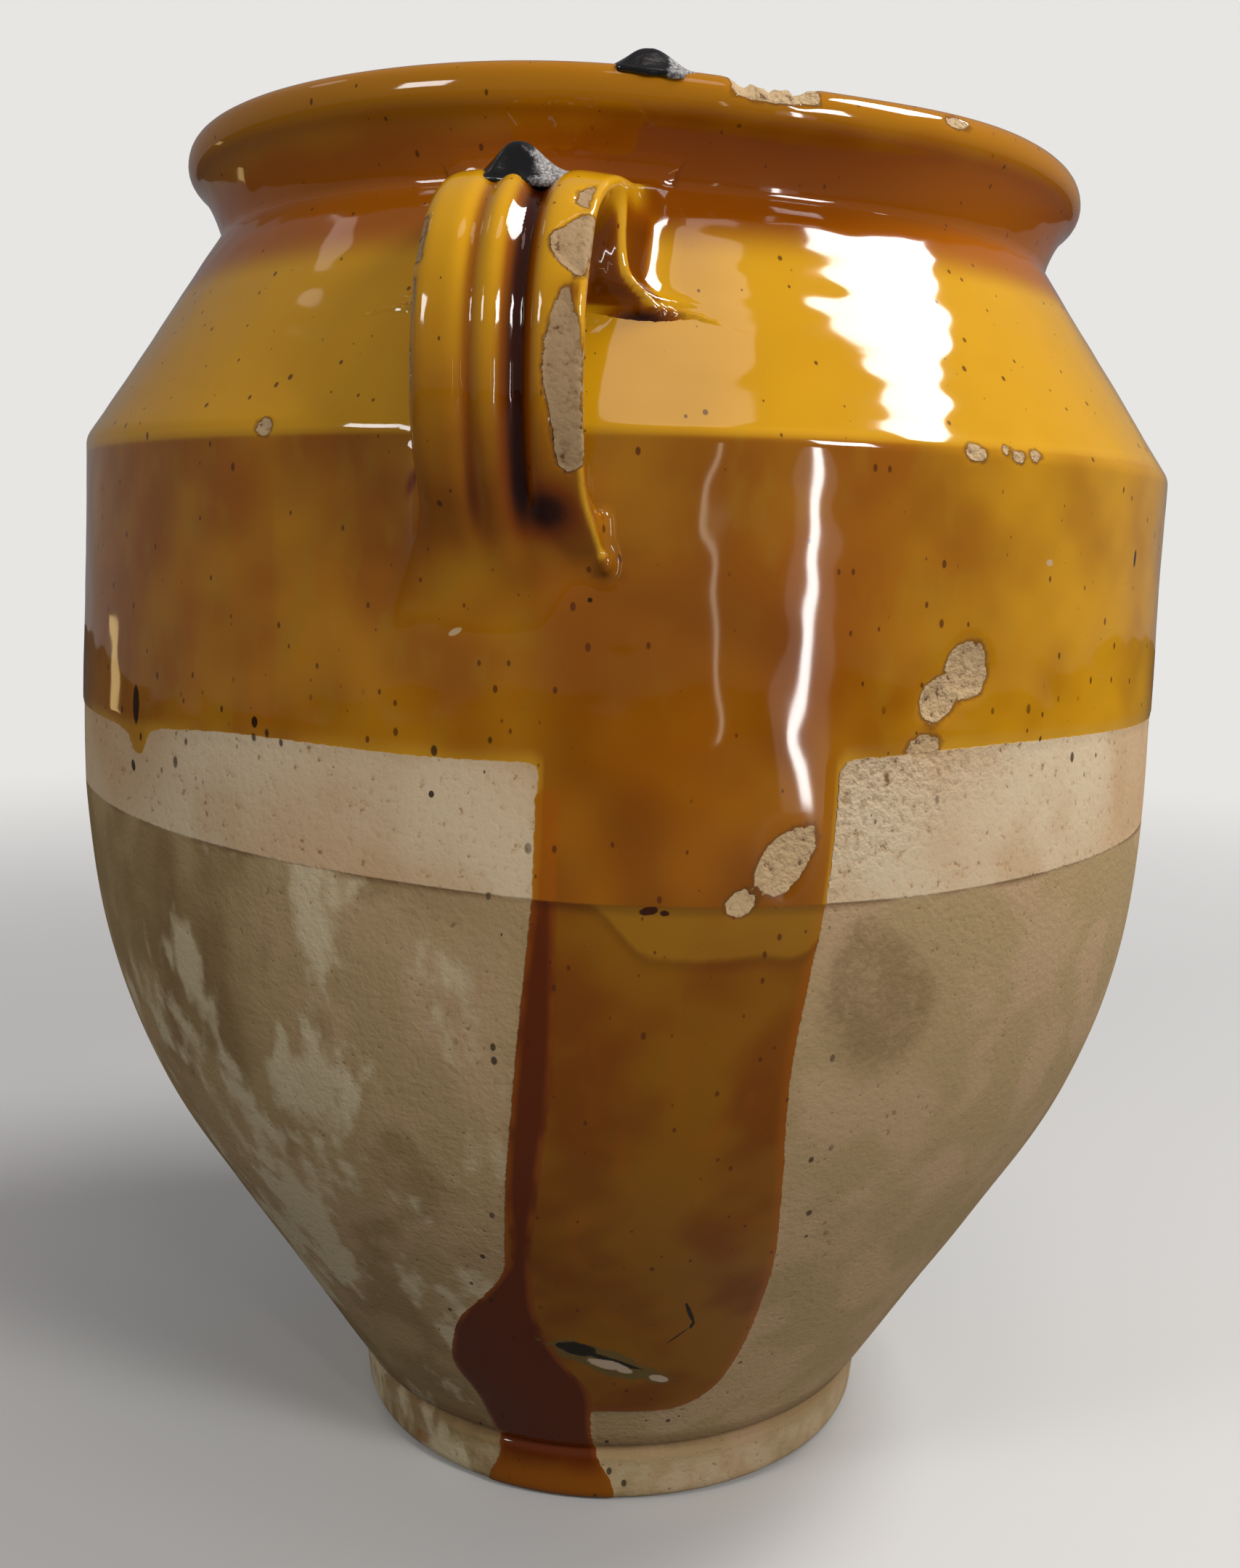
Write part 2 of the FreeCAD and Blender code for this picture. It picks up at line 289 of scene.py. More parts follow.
def lumpy(points, size, seed, stretch=(1, 1, 1), waves=16):
    """A smooth random field about zero over points, with lumps of about this size in metres."""
    draw = np.random.default_rng(seed)
    ways = draw.normal(size=(waves, 3))
    ways /= np.linalg.norm(ways, axis=1)[:, None]
    ways *= (np.pi / size * draw.uniform(0.6, 1.5, waves))[:, None] * np.array(stretch)
    starts = draw.uniform(0, 2 * np.pi, waves)
    total = np.zeros(points.shape[:-1])
    for way, start in zip(ways, starts):
        total += np.cos(points @ way + start)
    return total / math.sqrt(waves / 2)


def wobble_at(azimuth, height, radius):
    """The slow unevenness of a wall thrown by hand and glazed, in metres outward."""
    place = round_place(azimuth, height, radius)
    wobble = (slow_wobble * lumpy(place, 0.050, 1)
              + wall_wobble * lumpy(place, 0.012, 2, (1, 1, 0.8))
              + glaze_ripple * lumpy(place, 0.0050, 3, (1, 1, 1.3), 40)
              * ramp(height, 0.165, 0.175))
    return wobble * ramp(height, 0.010, 0.030) * (1 - ramp(height, 0.266, 0.278))


def relief_at(azimuth, height, radius):
    """How far the skin stands proud of the swept outline, in metres."""
    marks = marks_at(azimuth, height, radius)
    layer = glaze_thickness * (ramp(marks["glaze"], -0.0006, 0.0009) - 1)
    hollow = np.zeros(np.shape(layer))
    for chip_azimuth, chip_height, half_width, half_height, _, depth in chips:
        reach = np.hypot((azimuth - chip_azimuth) * np.radians(radius) / half_width,
                         (height - chip_height) / half_height)
        hollow = np.maximum(hollow, depth * (1 - ramp(reach, 0.72, 1.08)))
    return wobble_at(azimuth, height, radius) + layer - hollow


def weights_at(azimuth, height, radius):
    """Shares from zero to one: gritty slip, grimy clay, painted light that makes the glaze yellower
    on the lit right side, and cloudy fields.
    """
    place = round_place(azimuth, height, radius)
    grit = 1.15 - (azimuth - 26.4) / 18 - (0.171 - height) / 0.025
    return {"grit": np.clip(grit, 0, 1) * (azimuth > 20),
            "grime": ramp(azimuth, 8, -12) * ramp(azimuth, -178, -150),
            "lit_right_side": ramp(azimuth, 24, 56) * ramp(azimuth, 150, 110),
            # Painted light: the right side of the pot, where the lamps fall, is made yellower.
            "broad": 0.5 + 0.22 * lumpy(place, 0.034, 11),
            "mottle": 0.5 + 0.22 * (lumpy(place, 0.012, 12) + 0.5 * lumpy(place, 0.005, 13)),
            "streak": 0.5 + 0.22 * lumpy(place, 0.0065, 14, (1, 1, 0.12)),
            "patch": 0.5 + 0.22 * (lumpy(place, 0.017, 15, (1, 1, 0.6))
                                   + 0.6 * lumpy(place, 0.007, 16, (1, 1, 0.6)))}


def keep_marks(piece, marks, scale=1):
    """Store these values on the points of a piece for its finish to read."""
    for name, values in marks.items():
        layer = piece.data.attributes.new(name, "FLOAT", "POINT")
        layer.data.foreach_set("value", np.ravel(values).astype(np.float32) * scale)


# The swept grid takes up the relief along its outward normals, and the chip in the lip.
rounded_lip_points = 12
skin_part = np.arange(len(outside)) < len(outside) - rounded_lip_points
outline_way = np.gradient(outline, axis=0)
outline_way /= np.linalg.norm(outline_way, axis=1)[:, None]
outward = np.stack([outline_way[:, 1], -outline_way[:, 0]], axis=1)
grid = round_place(degrees[None, :], outline[:, 1][:, None], outline[:, 0][:, None])
rows = len(outline)
azimuth_grid = np.broadcast_to(degrees[None, :], (rows, columns))
height_grid, radius_grid = grid[:, :, 2], np.hypot(grid[:, :, 0], grid[:, :, 1])
is_skin = np.arange(rows) < len(outside)
relief = relief_at(azimuth_grid, height_grid, radius_grid)
relief = relief * is_skin[:, None] * ramp(radius_grid, 0.052, 0.060)
turn = np.radians(degrees)[None, :]
grid[:, :, 0] += relief * outward[:, 0][:, None] * np.sin(turn)
grid[:, :, 1] -= relief * outward[:, 0][:, None] * np.cos(turn)
grid[:, :, 2] += relief * outward[:, 1][:, None]
lip_dip = ramp(azimuth_grid, lip_chip_start - 0.8, lip_chip_start + 1.5)
lip_dip = lip_dip * (1 - ramp(azimuth_grid, lip_chip_end - 2.0, lip_chip_end + 0.8))
lip_dip = lip_dip * (1 + 0.35 * np.sin(azimuth_grid * 2.1) + 0.2 * np.sin(azimuth_grid * 4.7))
lip_dip = lip_dip * ramp(height_grid, lip_chip_low - 0.0015, lip_height - 0.0010)
grid[:, :, 2] -= lip_chip_depth * lip_dip
body_points = np.concatenate([[(0, 0, 0)], grid.reshape(-1, 3), [(0, 0, floor_thickness)]])
number = 1 + np.arange(rows * columns).reshape(rows, columns)
onward = np.roll(number, -1, axis=1)
walls = np.stack([number[:-1], onward[:-1], onward[1:], number[1:]], axis=-1).reshape(-1, 4)
bottom = [(0, b, a) for a, b in zip(number[0].tolist(), onward[0].tolist())]
last = rows * columns + 1
top = [(last, a, b) for a, b in zip(number[-1].tolist(), onward[-1].tolist())]
pot = closed_mesh("pot", settled(body_points), walls.tolist() + bottom + top)
pot_marks = marks_at(azimuth_grid, height_grid, radius_grid)
well_inside = 0.030
inner_marks = {"glaze": well_inside, "slip": well_inside, "drip": well_inside}
for name, values in pot_marks.items():
    values = np.where(is_skin[:, None], values, inner_marks.get(name, far_away)).ravel()
    pot_marks[name] = np.concatenate([[far_away], values, [inner_marks.get(name, far_away)]])
keep_marks(pot, pot_marks, 1000)
for name, values in weights_at(azimuth_grid, height_grid, radius_grid).items():
    keep_marks(pot, {name: np.concatenate([[0.5], values.ravel(), [0.5]])})
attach(pot, "root")
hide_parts("jam_pot")


class Tone:
    """A value or colour of a finish: it wraps a socket, so that shader maths reads as sums."""

    def __init__(self, tree, socket=None):
        self.tree, self.socket = tree, socket

    def node(self, kind, settings, values, output=0):
        """A node of this kind: first its settings, then the values or links of its sockets."""
        made = self.tree.nodes.new(kind)
        for name, setting in settings.items():
            setattr(made, name, setting)
        for name, value in values.items():
            if isinstance(value, Tone):
                self.tree.links.new(value.socket, made.inputs[name])
            else:
                made.inputs[name].default_value = value
        return Tone(self.tree, made.outputs[output])

    def maths(self, operation, *values):
        return self.node("ShaderNodeMath", {"operation": operation}, dict(enumerate(values)))

    def __add__(self, other):
        return self.maths("ADD", self, other)

    def __sub__(self, other):
        return self.maths("SUBTRACT", self, other)

    def __rsub__(self, other):
        return self.maths("SUBTRACT", other, self)

    def __mul__(self, other):
        return self.maths("MULTIPLY", self, other)

    def __truediv__(self, other):
        return self.maths("DIVIDE", self, other)

    __radd__, __rmul__ = __add__, __mul__

    def ramp(self, start, end):
        """Zero before the start, one after the end, and smooth in between."""
        if start > end:
            return 1 - self.ramp(end, start)
        return self.node("ShaderNodeMapRange", {"interpolation_type": "SMOOTHSTEP"},
                         {"Value": self, "From Min": start, "From Max": end})

    def mixed(self, colour, share):
        """This colour with a share of another one over it."""
        return self.node("ShaderNodeMix", {"data_type": "RGBA"},
                         {0: share, 6: self, 7: colour}, output=2)

    def stretched(self, *factors):
        """This place with each of its axes scaled."""
        return self.node("ShaderNodeVectorMath", {"operation": "MULTIPLY"}, {0: self, 1: factors})

    def cloud(self, size, detail=2.0, roughness=0.5):
        """Noise from zero to one at this place, in lumps of about this size in metres."""
        return self.node("ShaderNodeTexNoise", {},
                         {"Vector": self, "Scale": 1 / size, "Detail": detail,
                          "Roughness": roughness})

    def dots(self, spacing, least, most, share):
        """One inside scattered dots, with their spacing and radii in metres."""
        away = self.node("ShaderNodeTexVoronoi", {}, {"Vector": self, "Scale": 1 / spacing})
        chance = self.node("ShaderNodeSeparateColor", {},
                           {0: Tone(self.tree, away.socket.node.outputs["Color"])})
        other = Tone(self.tree, chance.socket.node.outputs[1])
        size = chance * chance * chance * ((most - least) / spacing) + least / spacing
        return (away / size).ramp(1.15, 0.75) * other.ramp(1 - share, 1.02 - share)


def colour(red, green, blue):
    """A colour from its picture values of 0 to 255."""
    return tuple((c / 255 / 12.92 if c < 10 else ((c / 255 + 0.055) / 1.055) ** 2.4)
                 for c in (red, green, blue)) + (1,)


def finish_tree(name):
    """A new material, its own shader, and a value to start shader maths from."""
    made = bpy.data.materials.new(name)
    made.use_nodes = True
    return made, made.node_tree.nodes["Principled BSDF"], Tone(made.node_tree)


def skin_place(azimuth, height):
    """The place of a mark on the settled outer skin."""
    radius = np.interp(height, outside[skin_part, 1], outside[skin_part, 0])
    return settled(round_place(azimuth, height, radius)[None])[0]


def mark_reach(place, azimuth, height, half_width, half_height, tilt=0):
    """Zero in the middle of a small mark on the skin, and one at its rim."""
    turned = Matrix.Rotation(math.radians(azimuth), 3, "Z") @ Matrix.Rotation(
        -math.radians(tilt), 3, "Y")
    local = place.node("ShaderNodeMapping", {"vector_type": "TEXTURE"},
                       {"Vector": place, "Location": skin_place(azimuth, height),
                        "Rotation": turned.to_euler(), "Scale": (half_width, 0.02, half_height)})
    return local.node("ShaderNodeVectorMath", {"operation": "LENGTH"}, {0: local}, output=1)


# The finish of the pot: amber lead glaze over white slip above, over bare clay on the tongue,
# and bare slip and buff clay below, with iron specks, grime, rubbed patches and chips, and with
# some light and shade painted into the colour.
deep_amber, light_amber = colour(146, 84, 6), colour(178, 118, 16)
olive_amber, orange_amber = colour(160, 114, 26), colour(160, 82, 2)
fringe_yellow, ridge_yellow = colour(208, 154, 34), colour(214, 158, 34)
yellow_amber = colour(206, 148, 14)
brown_glaze_and_shade, collar_light = colour(130, 58, 0), colour(174, 96, 6)
lip_amber, lit_top_amber = colour(172, 112, 8), colour(212, 156, 18)
tongue_brown, tongue_olive = colour(118, 62, 0), colour(134, 84, 4)
run_brown, run_foot_orange, pool_and_shadow_brown = colour(88, 32, 0), colour(140, 78, 10), colour(44, 10, 2)
slip_pink, slip_pale, slip_warm = colour(196, 164, 126), colour(206, 184, 150), colour(182, 142, 98)
clay_buff, clay_olive, clay_pale = colour(164, 138, 96), colour(134, 110, 66), colour(198, 180, 144)
clay_brown, clay_stain, clay_pink = colour(112, 78, 42), colour(132, 106, 68), colour(176, 146, 108)
chip_buff, chip_pit, chip_rim = colour(188, 158, 116), colour(158, 128, 90), colour(104, 62, 20)
iron_black, iron_brown = colour(36, 16, 4), colour(84, 40, 6)
scar_black, scar_white, scar_grey = colour(26, 20, 14), colour(190, 166, 140), colour(104, 84, 40)
# The heights between which the colour changes at the shoulder edge, above which the shoulder is
# painted lighter as if lit from above, at the collar, painted dark as thick glaze and as shade
# under the lip, and at the lip.
edge_band, collar_band, lip_band = (0.2190, 0.2215), (0.2490, 0.2575), (0.2700, 0.2755)
ridge_height, ridge_half_width = 0.2206, 0.0009
groove_shade_height, groove_shade_half_width = 0.0150, 0.0045
ring_spacing, glaze_ior = 0.0056, 1.42
worn_place, stain_place = (-20.2, 0.106, 0.013, 0.011, 20), (31.8, 0.1285, 0.0115, 0.0135)
drop_stain_place = (-36, 0.0045, 0.0036, 0.0026)
# Small marks by colour and raggedness: azimuth, height, half the width and height, and tilt.
blemishes = [
    (iron_black, 0.25, [
        (-39.4, 0.1712, 0.0013, 0.0036, 0), (-40.3, 0.1598, 0.0008, 0.0011, 30),
        (-22.5, 0.1715, 0.0007, 0.0010, 0), (6.0, 0.1944, 0.0004, 0.0004, 0),
        (62.7, 0.2040, 0.0006, 0.0017, -10), (-5.9, 0.1625, 0.0005, 0.0006, 0)]),
    (pool_and_shadow_brown, 0.9, [(11.4, 0.1454, 0.0015, 0.0007, 10), (12.6, 0.1450, 0.0008, 0.0005, 0)]),
    (chip_buff, 0.3, [(46.8, 0.2027, 0.0009, 0.0006, 0), (-4.3, 0.1886, 0.0012, 0.0005, 25)]),
    (scar_grey, 0.9, [(8.6, 0.0446, 0.0135, 0.0034, -27)]),
    (scar_black, 0.45, [
        (4.4, 0.0487, 0.0036, 0.0021, -16), (2.6, 0.0494, 0.0020, 0.0011, -10),
        (8.6, 0.0455, 0.0080, 0.0007, -27), (18.3, 0.0596, 0.0004, 0.0036, 22),
        (18.9, 0.0560, 0.0004, 0.0012, -12), (17.4, 0.0530, 0.0030, 0.0002, 50)]),
    (scar_white, 0.6, [(8.2, 0.0441, 0.0042, 0.0013, -20), (10.4, 0.0424, 0.0022, 0.0009, -30),
                       (15.8, 0.0391, 0.0022, 0.0010, -24)])]


def layered(base, *layers):
    """A colour with each of these colours laid over it in turn, by its share."""
    for shade, share in layers:
        base = base.mixed(shade, share)
    return base


def pot_finish():
    """The material of the whole pot, which reads the patches that its meshes hold."""
    made, shader, start = finish_tree("amber glaze and buff clay")
    place = start.node("ShaderNodeTexCoord", {}, {}, output=3)
    height = start.node("ShaderNodeSeparateXYZ", {}, {0: place}, output=2)

    def mark(name):
        return start.node("ShaderNodeAttribute", {"attribute_name": name}, {}, output=2)

    def two(share, first, second):
        return start.node("ShaderNodeMix", {"data_type": "RGBA"},
                          {0: share, 6: first, 7: second}, output=2)

    broad, mottle, streak, patch = mark("broad"), mark("mottle"), mark("streak"), mark("patch")
    grain = place.cloud(0.0015, 2, 0.65)
    fleck = place.stretched(1, 1, 0.5).cloud(0.0050, 1.5, 0.6)
    ragged = (grain - 0.5) * 1.6
    glaze_in, slip_in, tongue_in, run_in = mark("glaze"), mark("slip"), mark("tongue"), mark("run")
    pool_and_shade, thin_glaze_and_highlight, strap, lit_right_side = mark("pool_and_shade"), mark("thin_glaze_and_highlight"), mark("strap"), mark("lit_right_side")
    grit, grime = mark("grit"), mark("grime")
    glaze = (glaze_in + ragged * 0.5).ramp(-0.12, 0.14)
    slip = (slip_in + ragged * 0.25).ramp(-0.25, 0.25)
    drip_in = mark("drip") + ragged * 0.5
    tongue = tongue_in.ramp(-0.4, 0.4)
    run = (run_in + ragged * 0.5).ramp(-0.5, 0.5)
    chip_in = mark("chip") + ragged * 0.6 + (fleck - 0.5) * 2.0 + (mottle - 0.5) * 0.8
    chip = chip_in.ramp(-0.10, 0.10)
    chip_edge = chip_in.ramp(-0.7, -0.05)
    wall_only = 1 - strap

    thick = tongue_in.ramp(-8, 8) * height.ramp(0.214, 0.188)
    ridge = (height - ridge_height) / ridge_half_width
    collar = height.ramp(*collar_band) * wall_only
    over_slip = layered(
        two((broad * 0.6 + mottle * 0.5).ramp(0.15, 1.0), deep_amber, light_amber),
        (olive_amber, fleck.ramp(0.45, 0.75) * 0.4),
        (orange_amber, streak.ramp(0.5, 0.9) * 0.25),
        # Painted light: the glaze is made yellower on the lit right side.
        (yellow_amber, lit_right_side * (mottle * 0.4 + 0.5)),
        (orange_amber, thick * 0.35),
        (tongue_brown, thick * (patch.ramp(0.1, 0.9) * 0.55 + 0.25)),
        # Painted light: the upward-facing shoulder above the edge and the upper strap are made
        # lighter, as if lit from above.
        (lit_top_amber, height.ramp(*edge_band) * wall_only * 0.75),
        (lit_top_amber, strap * height.ramp(0.208, 0.254) * 0.8),
        # The strap is painted browner toward its foot.
        (brown_glaze_and_shade, strap * height.ramp(0.242, 0.206) * 0.45),
        (ridge_yellow, (ridge * ridge).ramp(1.6, 0.0) * wall_only * 0.35),
        # The collar under the rolled lip is painted dark brown, partly as its thick glaze and
        # partly as painted shade under the lip; it is painted lighter on the lit right side.
        (brown_glaze_and_shade, collar * 0.94),
        (collar_light, collar * (lit_right_side * 0.8 + grime * (broad * 0.7 + 0.3))),
        (lip_amber, (height + mottle * 0.002).ramp(*lip_band) * 0.9),
        (fringe_yellow, glaze_in.ramp(3.0, 0.1) * tongue_in.ramp(0.5, -1.5)
         * (lit_right_side * 0.35 + mottle * 0.5)),
        (fringe_yellow, tongue_in.ramp(1.0, 0.2) * height.ramp(0.171, 0.168) * 0.4))
    over_clay = layered(
        two((broad * 0.5 + mottle * 0.6).ramp(0.3, 0.85), tongue_brown, tongue_olive),
        (orange_amber, fleck.ramp(0.50, 0.8) * 0.2 + tongue_in.ramp(2.6, 0.4) * 0.4),
        (olive_amber, drip_in.ramp(-0.9, 0.9) * 0.45),
        (pool_and_shadow_brown, drip_in.ramp(-3.0, -0.4) * drip_in.ramp(0.8, -0.4) * 0.22))
    bare_run = run * (1 - slip)
    # Painted shadow: a dark line on the tongue just below the slip's edge under the glaze.
    slip_step_shadow = slip_in.ramp(-2.2, -0.2) * slip_in.ramp(0.3, -0.1)
    glazed = layered(
        over_clay.mixed(over_slip, slip),
        (run_brown, bare_run * 0.96),
        (orange_amber, run_in.ramp(1.6, 0.2) * bare_run * (fleck.ramp(0.3, 0.6) * 0.4 + 0.1)),
        (orange_amber, run * slip * 0.6),
        (run_foot_orange, run * (height + fleck * 0.003).ramp(0.0135, 0.0060) * 0.9),
        (pool_and_shadow_brown, slip_step_shadow * tongue * 0.35),
        # Dark where the glaze pools in the grooves and crease, and painted shade under and beside
        # the arm.
        (brown_glaze_and_shade, pool_and_shade.ramp(0.02, 0.45) * 0.9),
        (pool_and_shadow_brown, pool_and_shade.ramp(0.30, 0.95) * 0.97),
        # Yellow where the glaze runs thin over edges, and a painted highlight along the left rib.
        (ridge_yellow, thin_glaze_and_highlight.ramp(0.2, 0.9) * 0.85))

    slipped = two(broad.ramp(0.30, 0.75), slip_pink, slip_pale)
    slipped = slipped.mixed(slip_warm, mottle.ramp(0.4, 1.0) * 0.35 + grain.ramp(0.45, 0.30) * 0.45)
    grimy = (broad * 0.6 + mottle * 0.5 + fleck * 0.3).ramp(0.5, 0.85)
    rubbed = (patch + (fleck - 0.5) * 1.5 + ragged * 0.14).ramp(0.56, 0.98)
    worn = 1 - mark_reach(place, *worn_place) + (fleck - 0.5) * 2.2 + (patch - 0.5)
    stain = 1 - mark_reach(place, *stain_place) + (mottle - 0.5) * 0.5
    stain_mottle = (fleck * 0.6 + grain * 0.7).ramp(0.40, 0.75) * 0.4 + 0.4
    # Painted shade: the clay is darkened along the groove above the foot.
    hollow = (height - groove_shade_height) / groove_shade_half_width
    orange_drop = 1 - mark_reach(place, *drop_stain_place) + (fleck - 0.5) * 1.6
    # Painted shadow: a thin dark line just below the edge of the bare slip.
    slip_edge_shadow = slip_in.ramp(-1.2, -0.1) * slip_in.ramp(0.3, 0.0)
    bare = layered(
        two(mottle.ramp(0.3, 0.8), clay_buff, clay_pink),
        (clay_olive, grime * grimy * 0.75),
        (clay_brown, grime * (streak * 0.5 + broad * 0.6).ramp(0.62, 0.9) * 0.35),
        (clay_pale, grime * rubbed * 0.9),
        (clay_pale, (worn + ragged * 0.2).ramp(0.0, 0.6) * 0.8),
        (clay_stain, (stain + ragged * 0.2).ramp(-0.25, 0.3) * stain_mottle),
        (clay_brown, (hollow * hollow).ramp(1.0, 0.0) * 0.45),
        (clay_pale, height.ramp(0.0110, 0.0080) * fleck.ramp(0.3, 0.6) * 0.35),
        (run_foot_orange, orange_drop.ramp(0, 0.5) * 0.6),
        (slipped, slip),
        (clay_brown, slip_edge_shadow * mottle.ramp(0.2, 0.8) * 0.65),
        (clay_brown, grain.ramp(0.33, 0.27) * 0.6 + grain.ramp(0.52, 0.36) * grit * 0.40))
    tone = bare.mixed(glazed, glaze)

    spot_place = place.stretched(1, 1, 0.62)
    near_line = glaze_in.ramp(13, 2) * glaze_in.ramp(-14, -4) * tongue_in.ramp(2, -4)
    specks = spot_place.dots(0.0024, 0.00010, 0.00050, 0.8) * (glaze * 0.72 + 0.10)
    small = spot_place.dots(0.0031, 0.00014, 0.00070, 0.70) * near_line
    tone = tone.mixed(iron_brown, specks)
    tone = tone.mixed(iron_black, small * 0.85)
    for shade, rough, marks in blemishes:
        reach = mark_reach(place, *marks[0])
        for other in marks[1:]:
            reach = reach.maths("MINIMUM", reach, mark_reach(place, *other))
        reach = reach + ragged * rough * 0.6 + (fleck - 0.5) * rough
        tone = tone.mixed(shade, reach.ramp(1.12, 0.86) * 0.95)
    tone = tone.mixed(chip_rim, chip_edge * glaze * 0.7)
    chip_tone = two(grain.ramp(0.30, 0.50), chip_pit, chip_buff).mixed(clay_brown, strap * 0.40)
    tone = tone.mixed(chip_tone.mixed(iron_brown, grain.ramp(0.34, 0.30) * 0.7), chip)

    throwing = start.maths("SINE", (height + mottle * 0.0014) * (2 * math.pi / ring_spacing))
    earth = grain * (0.16 + (1 - slip) * 0.10 + grit * 0.75 + chip * 0.12)
    relief = throwing * height.ramp(0.214, 0.224) * 0.012 * glaze + earth * (1 - glaze * (1 - chip))
    relief = relief + glaze * 0.22 + slip * (1 - glaze) * 0.16 - chip * 0.35
    bump = start.node("ShaderNodeBump", {}, {"Strength": 1.0, "Distance": 0.001, "Height": relief})

    links = made.node_tree.links
    links.new(tone.socket, shader.inputs["Base Color"])
    links.new((0.82 - glaze * (1 - chip) * 0.76).socket, shader.inputs["Roughness"])
    links.new(bump.socket, shader.inputs["Normal"])
    shader.inputs["IOR"].default_value = glaze_ior
    return made


clay_and_glaze = pot_finish()
pot.data.materials.append(clay_and_glaze)

# The handles: straps pulled from wet clay, pressed on under the lip and below the shoulder
# edge, with the potter's fingers drawn down them. They are one body of clay with the pot, so
# each is grown out of the wall with soft fillets. The front one is measured, and the one
# behind repeats it.
bow_upper = [(0.0856, 0.2548), (0.1100, 0.2624), (0.1288, 0.2512), (0.1288, 0.2270)]
bow_lower = [(0.1288, 0.2270), (0.1286, 0.2145), (0.1220, 0.2090), (0.1120, 0.1985)]
strap_left, strap_right, strap_thickness = 0.0138, 0.0124, 0.0084
strap_crown, strap_hollow, edge_thinning = 0.0012, 0.0012, 0.0042
arm_start, gusset_depth, gusset_slope = 0.019, 0.0173, 1.0
wing_width, wing_height, wing_power, wing_rise = 0.0092, 0.0068, 6, 0.0055
arm_flare, arm_thinning = 0.0022, 0.0012
left_groove, left_groove_depth, left_groove_width = -0.0045, 0.0013, 0.0017
right_groove, right_groove_depth, right_groove_width = 0.0026, 0.0025, 0.0024
fillet, tight_fillet, skin_depth, seam_dive = 0.008, 0.0022, 0.002, 0.00004
lower_end, lower_fade, right_edge_peel = 0.092, 0.014, 0.0018
cell, net_low, net_high = 0.00065, (-0.041, 0.088, 0.184), (0.0411, 0.1375, 0.2701)
drop_place, drop_radius = (0.0148, 0.1184, 0.2000), 0.0009
# Each chip beside the right edge: rows of height, its far side and its near side from the edge.
strap_chips = [
    [(0.2134, 0.0022, 0.0015), (0.2142, 0.0036, 0.0002), (0.2185, 0.0044, 0.0001),
     (0.2244, 0.0054, 0.0003), (0.2295, 0.0055, 0.0002), (0.2337, 0.0050, 0.0010),
     (0.2365, 0.0043, 0.0018), (0.2388, 0.0032, 0.0024)],
    [(0.2408, 0.0012, 0.0004), (0.2430, 0.0039, 0.0006), (0.2445, 0.0050, 0.0002),
     (0.2470, 0.0051, 0.0001), (0.2486, 0.0034, 0.0001), (0.2498, 0.0018, 0.0002)],
    [(0.2510, 0.0016, 0.0008), (0.2520, 0.0036, 0.0008), (0.2544, 0.0034, 0.0010),
     (0.2552, 0.0020, 0.0012)]]
left_wear = [(0.2425, 0.2495, 0.0016), (0.2240, 0.2398, 0.0010)]
chip_depth = 0.0004

bow = np.concatenate([along(*bow_upper, step=0.0004), along(*bow_lower, step=0.0004)])
bow_length = np.concatenate([[0], np.cumsum(np.linalg.norm(np.diff(bow, axis=0), axis=1))])
bow_way = np.gradient(bow, axis=0)
bow_way /= np.linalg.norm(bow_way, axis=1)[:, None]
skin_part = skin_part & (outside[:, 1] > 0.15)
skin_height, skin_radius = outside[skin_part, 1], outside[skin_part, 0]
skin_slope = np.gradient(skin_radius, skin_height)


def bow_place(out, height):
    """How far along the bow each point lies, and how far outside the bow's middle line."""
    shape = np.broadcast(out, height).shape
    points = np.stack(np.broadcast_arrays(out, height), axis=-1).reshape(-1, 2)
    nearest = np.concatenate([
        ((part[:, None, :] - bow[None, ::3, :]) ** 2).sum(axis=-1).argmin(axis=1) * 3
        for part in np.array_split(points, max(1, len(points) // 4000))])
    away = points - bow[nearest]
    way = bow_way[nearest]
    run = bow_length[nearest] + (away * way).sum(axis=1)
    proud = away[:, 1] * way[:, 0] - away[:, 0] * way[:, 1]
    return run.reshape(shape), proud.reshape(shape)


def right_reach(run):
    """How far the strap's right edge stands from its middle, which widens at both roots."""
    return (strap_right + arm_flare * (1 - ramp(run, 0.012, 0.040))
            + right_edge_peel * ramp(run, lower_end - 0.016, lower_end - 0.002))


def handle_chips(side, height, run, proud):
    """How far inside a chip each place on the strap lies, in metres."""
    from_right = right_reach(run) - side
    value = np.full(np.shape(side + height + run), far_away)
    for chip in strap_chips:
        low, far, near = (np.interp(height, *np.transpose([(row[0], row[k]) for row in chip]))
                          for k in (0, 1, 2))
        ends = np.minimum(height - chip[0][0], chip[-1][0] - height)
        beside_edge = np.minimum(from_right - near, far - from_right)
        value = np.maximum(value, np.minimum(beside_edge, ends))
    from_left = side + strap_left
    for low, high, wide in left_wear:
        ends = np.minimum(height - low, high - height)
        value = np.maximum(value, np.minimum(wide - from_left, ends))
    return np.minimum(value, np.minimum(proud - 0.0004, run - 0.030))


def wall_gap(side, out, height):
    """How far outside the bare wall a place lies."""
    slope = np.interp(height, skin_height, skin_slope)
    bare_radius = np.interp(height, skin_height, skin_radius)
    wobble = wobble_at(np.degrees(np.arctan2(side, out)), height, bare_radius)
    return (np.hypot(side, out) - bare_radius) / np.sqrt(1 + slope ** 2) - wobble


